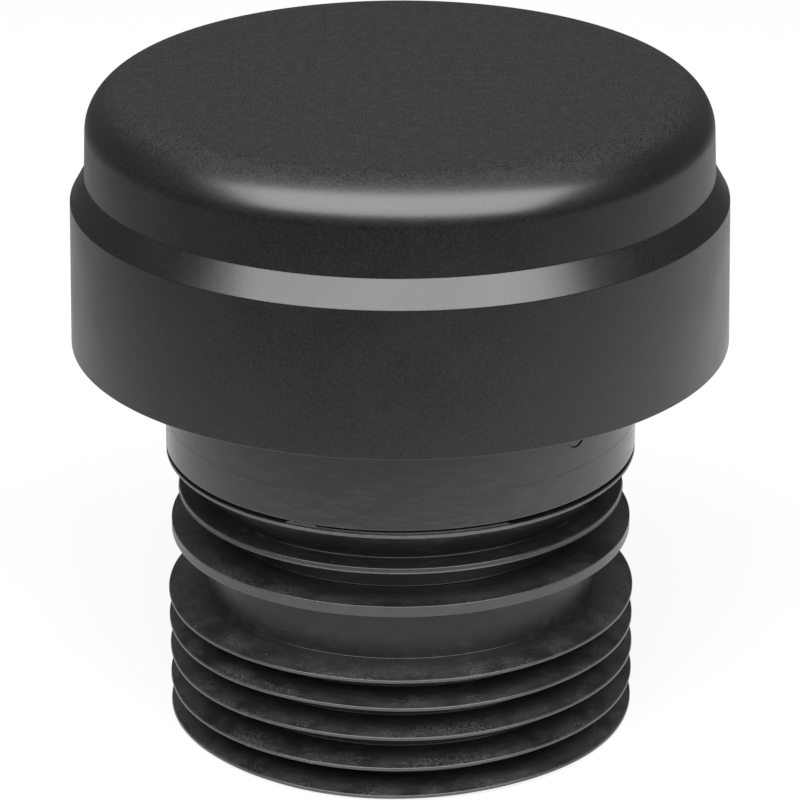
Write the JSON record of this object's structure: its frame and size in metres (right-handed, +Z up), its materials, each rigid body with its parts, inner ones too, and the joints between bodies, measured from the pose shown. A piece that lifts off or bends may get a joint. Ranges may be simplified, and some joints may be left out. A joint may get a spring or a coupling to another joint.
{
  "type": "air admittance valve",
  "caption": "Round black air admittance valve: domed cap with a chamfered shoulder and skirt, finned rubber pipe seal, and a gravity-closed lifting plate inside.",
  "frame": {"origin": "middle of the pipe seal's foot, on the surface that the valve stands on", "axes": "+Z up along the valve's axis, from the pipe seal to the cap; -Y towards the pictured side"},
  "size_m": [0.1522, 0.1522, 0.155],
  "materials": {
    "cap_plastic": "satin black moulded plastic with a fine grain",
    "body_plastic": "semi-gloss black moulded plastic",
    "inner_plastic": "plain black moulded plastic",
    "plate_plastic": "natural off-white moulded plastic",
    "screen_plastic": "dark grey moulded plastic",
    "seal_rubber": "black moulded rubber, slightly dusty, with bright moulded rims",
    "soft_rubber": "soft dark rubber"
  },
  "bodies": {
    "housing": {"cap": "cap_plastic", "connector": "body_plastic", "seat_housing": "inner_plastic", "pipe_seal": "seal_rubber", "joint_gasket": "soft_rubber", "cap_gasket": "soft_rubber", "bore_screen": "screen_plastic", "inlet_screen_1": "screen_plastic", "inlet_screen_2": "screen_plastic", "inlet_screen_3": "screen_plastic", "inlet_screen_4": "screen_plastic", "inlet_screen_5": "screen_plastic", "inlet_screen_6": "screen_plastic"},
    "lifting_plate": {"valve_plate": "plate_plastic", "diaphragm": "soft_rubber", "clamp_ring": "plate_plastic"}
  },
  "joints": [
    {"name": "plate_lift", "type": "slide", "parent": "housing", "child": "lifting_plate", "axis": [0, 0, 1], "range_m": [0, 0.0085]}
  ]
}
